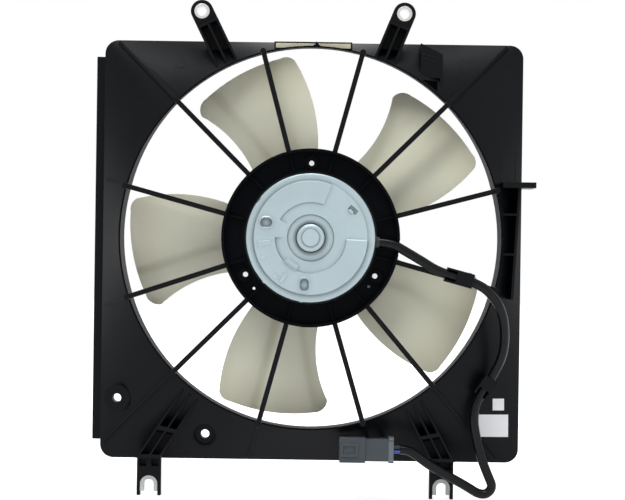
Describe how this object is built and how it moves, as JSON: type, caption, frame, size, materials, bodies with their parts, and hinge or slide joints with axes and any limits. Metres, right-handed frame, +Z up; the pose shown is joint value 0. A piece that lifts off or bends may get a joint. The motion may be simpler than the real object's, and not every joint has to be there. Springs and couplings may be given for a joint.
{
  "type": "radiator cooling fan",
  "caption": "Engine cooling fan: square moulded shroud with a round opening, spokes carrying an electric motor, a cambered-blade wheel, upper bolt ears, lower forks and a short plug lead.",
  "frame": {"origin": "midway between the centres of the two upper bolt holes, in the plane of the ears' faces that lie on the radiator", "axes": "+Z up, +X to the right as seen from the engine side, -Y towards the engine and the viewer, +Y towards the radiator; the fan turns about a line parallel to Y"},
  "size_m": [0.4247, 0.0918, 0.4752],
  "materials": {
    "shroud_plastic": "satin, moulded",
    "fan_plastic": "satin, moulded",
    "motor_steel": "satin silver coat",
    "steel": "plated",
    "bearing_steel": "ground",
    "bronze": "sintered",
    "ferrite": "matt",
    "laminations": "matt",
    "copper": "enamelled",
    "brush_board": "matt laminate",
    "brass": "bright",
    "carbon": "matt",
    "black_rubber": "matt",
    "sleeve_vinyl": "satin",
    "lead_black": "satin",
    "lead_blue": "satin",
    "connector_grey": "satin",
    "cap_grey": "satin",
    "foam": "matt",
    "pale_liner": "matt"
  },
  "bodies": {
    "shroud_and_motor": {"shroud": "shroud_plastic", "left_leg": "shroud_plastic", "right_leg": "shroud_plastic", "side_boss_tube": "shroud_plastic", "low_boss_tube": "shroud_plastic", "fan_ring": "shroud_plastic", "spokes": "shroud_plastic", "motor_holder": "shroud_plastic", "upper_collar_left": "steel", "upper_collar_right": "steel", "fork_insert_left": "pale_liner", "fork_insert_right": "pale_liner", "seal_strip": "foam", "motor_can": "motor_steel", "motor_rear_cover": "motor_steel", "motor_flange": "motor_steel", "motor_screws": "steel", "bearing_outer_ring": "bearing_steel", "bearing_balls": "bearing_steel", "rear_bush": "bronze", "field_magnets": "ferrite", "brush_plate": "brush_board", "brush_holders": "brass", "suppression_chokes": "copper", "brush_spring_1": "steel", "brush_spring_2": "steel", "brush_spring_3": "steel", "brush_spring_4": "steel", "lead_grommet": "black_rubber", "harness_sleeve": "sleeve_vinyl", "wire_black": "lead_black", "wire_blue": "lead_blue", "connector_housing": "connector_grey", "connector_rear_cap": "cap_grey", "connector_wire_seals": "black_rubber", "connector_terminals": "brass"},
    "fan_and_armature": {"fan_wheel": "fan_plastic", "fan_hub_insert": "steel", "fan_washer": "steel", "fan_nut": "steel", "motor_shaft": "bearing_steel", "bearing_inner_ring": "bearing_steel", "thrust_washer": "steel", "armature_core": "laminations", "armature_windings": "copper", "commutator": "copper"},
    "carbon_brush_1": {"brush_1": "carbon"},
    "carbon_brush_2": {"brush_2": "carbon"},
    "carbon_brush_3": {"brush_3": "carbon"},
    "carbon_brush_4": {"brush_4": "carbon"}
  },
  "joints": [
    {"name": "fan_spin", "type": "hinge", "parent": "shroud_and_motor", "child": "fan_and_armature", "pos_m": [0.01, 0, -0.216], "axis": [0, -1, 0], "continuous": true},
    {"name": "brush_slide_1", "type": "slide", "parent": "shroud_and_motor", "child": "carbon_brush_1", "axis": [1, 0, 0], "range_m": [0, 0.004], "stiffness_N_per_m": 300, "springref_m": -0.006, "deforming": ["brush_spring_1"]},
    {"name": "brush_slide_2", "type": "slide", "parent": "shroud_and_motor", "child": "carbon_brush_2", "axis": [0, 0, 1], "range_m": [0, 0.004], "stiffness_N_per_m": 300, "springref_m": -0.006, "deforming": ["brush_spring_2"]},
    {"name": "brush_slide_3", "type": "slide", "parent": "shroud_and_motor", "child": "carbon_brush_3", "axis": [-1, 0, 0], "range_m": [0, 0.004], "stiffness_N_per_m": 300, "springref_m": -0.006, "deforming": ["brush_spring_3"]},
    {"name": "brush_slide_4", "type": "slide", "parent": "shroud_and_motor", "child": "carbon_brush_4", "axis": [0, 0, -1], "range_m": [0, 0.004], "stiffness_N_per_m": 300, "springref_m": -0.006, "deforming": ["brush_spring_4"]}
  ]
}
